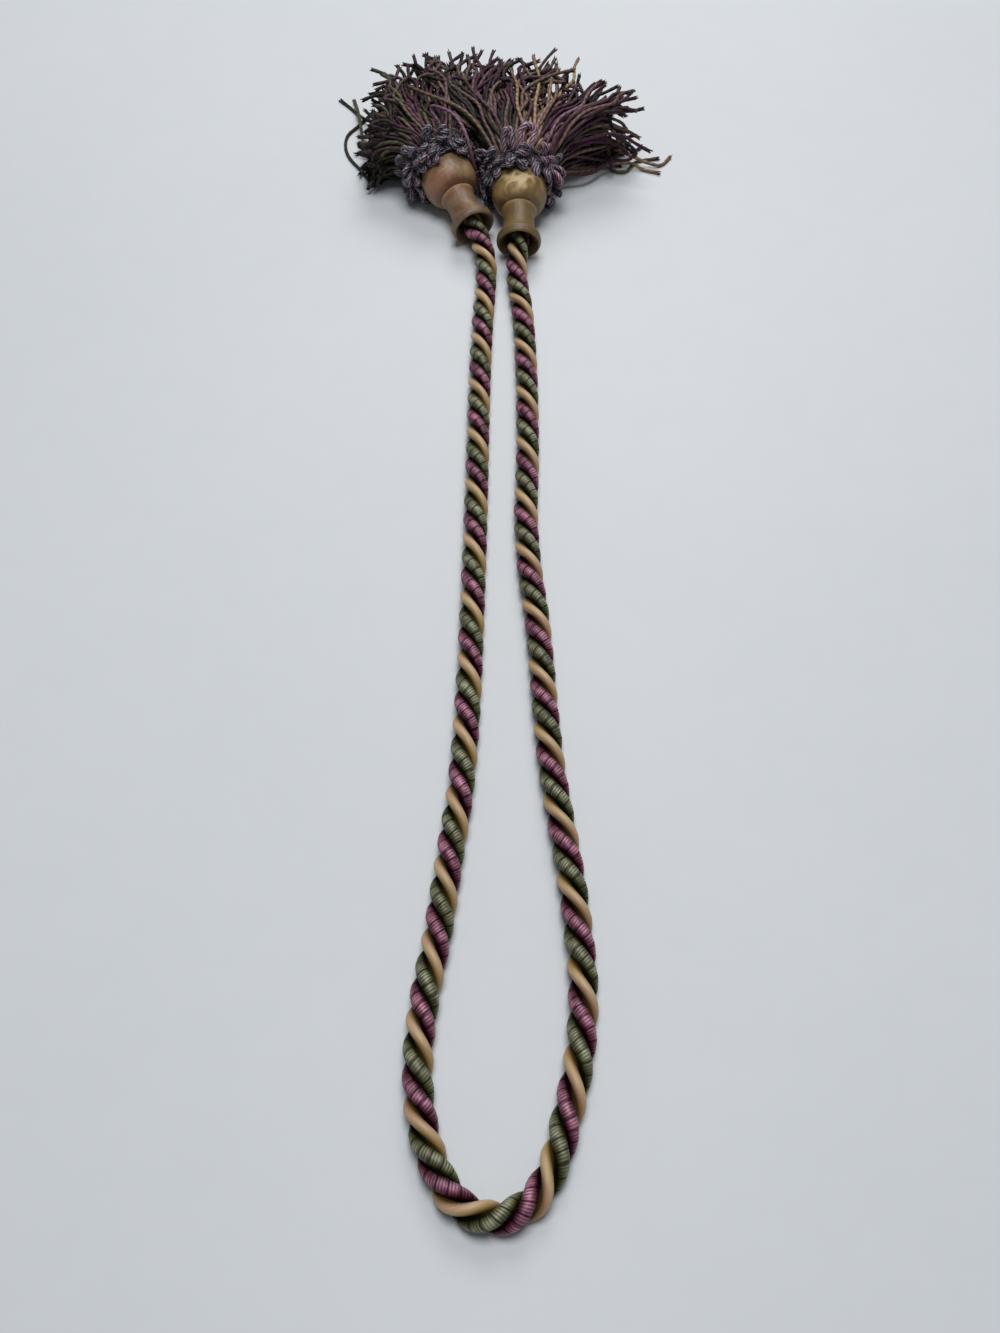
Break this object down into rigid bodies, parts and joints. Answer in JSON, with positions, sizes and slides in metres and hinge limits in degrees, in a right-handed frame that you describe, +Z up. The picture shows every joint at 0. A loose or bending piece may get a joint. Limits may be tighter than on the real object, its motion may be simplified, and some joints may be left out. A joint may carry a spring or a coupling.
{
  "type": "curtain tieback tassel",
  "caption": "Twisted rope tieback lying in a loop, with a turned wooden tassel head, looped collar and skirt of cut cords at each end.",
  "frame": {"origin": "bottom centre of the box round the two tassels (heads, collars and skirts), on the surface they lie on, the free rope left out", "axes": "+Z up from the surface, +Y from the rope's bight towards the cut ends of the skirts, +X to the right as seen from the bight"},
  "size_m": [0.1122, 0.366, 0.0246],
  "materials": {
    "rope_yarn": "three strands of rayon and cotton, gold, burgundy and olive, with a soft sheen",
    "turned_wood": "turned and stained, worn satin lacquer",
    "collar_gimp": "variegated plum, pink and blue-grey gimp, matt",
    "skirt_cord": "two-ply cut cords in olive, plum, mauve and tan, matt"
  },
  "bodies": {
    "root": {"rope": "rope_yarn", "head_left": "turned_wood", "head_right": "turned_wood", "collar_left": "collar_gimp", "collar_right": "collar_gimp", "skirt_left": "skirt_cord", "skirt_right": "skirt_cord"}
  },
  "joints": []
}
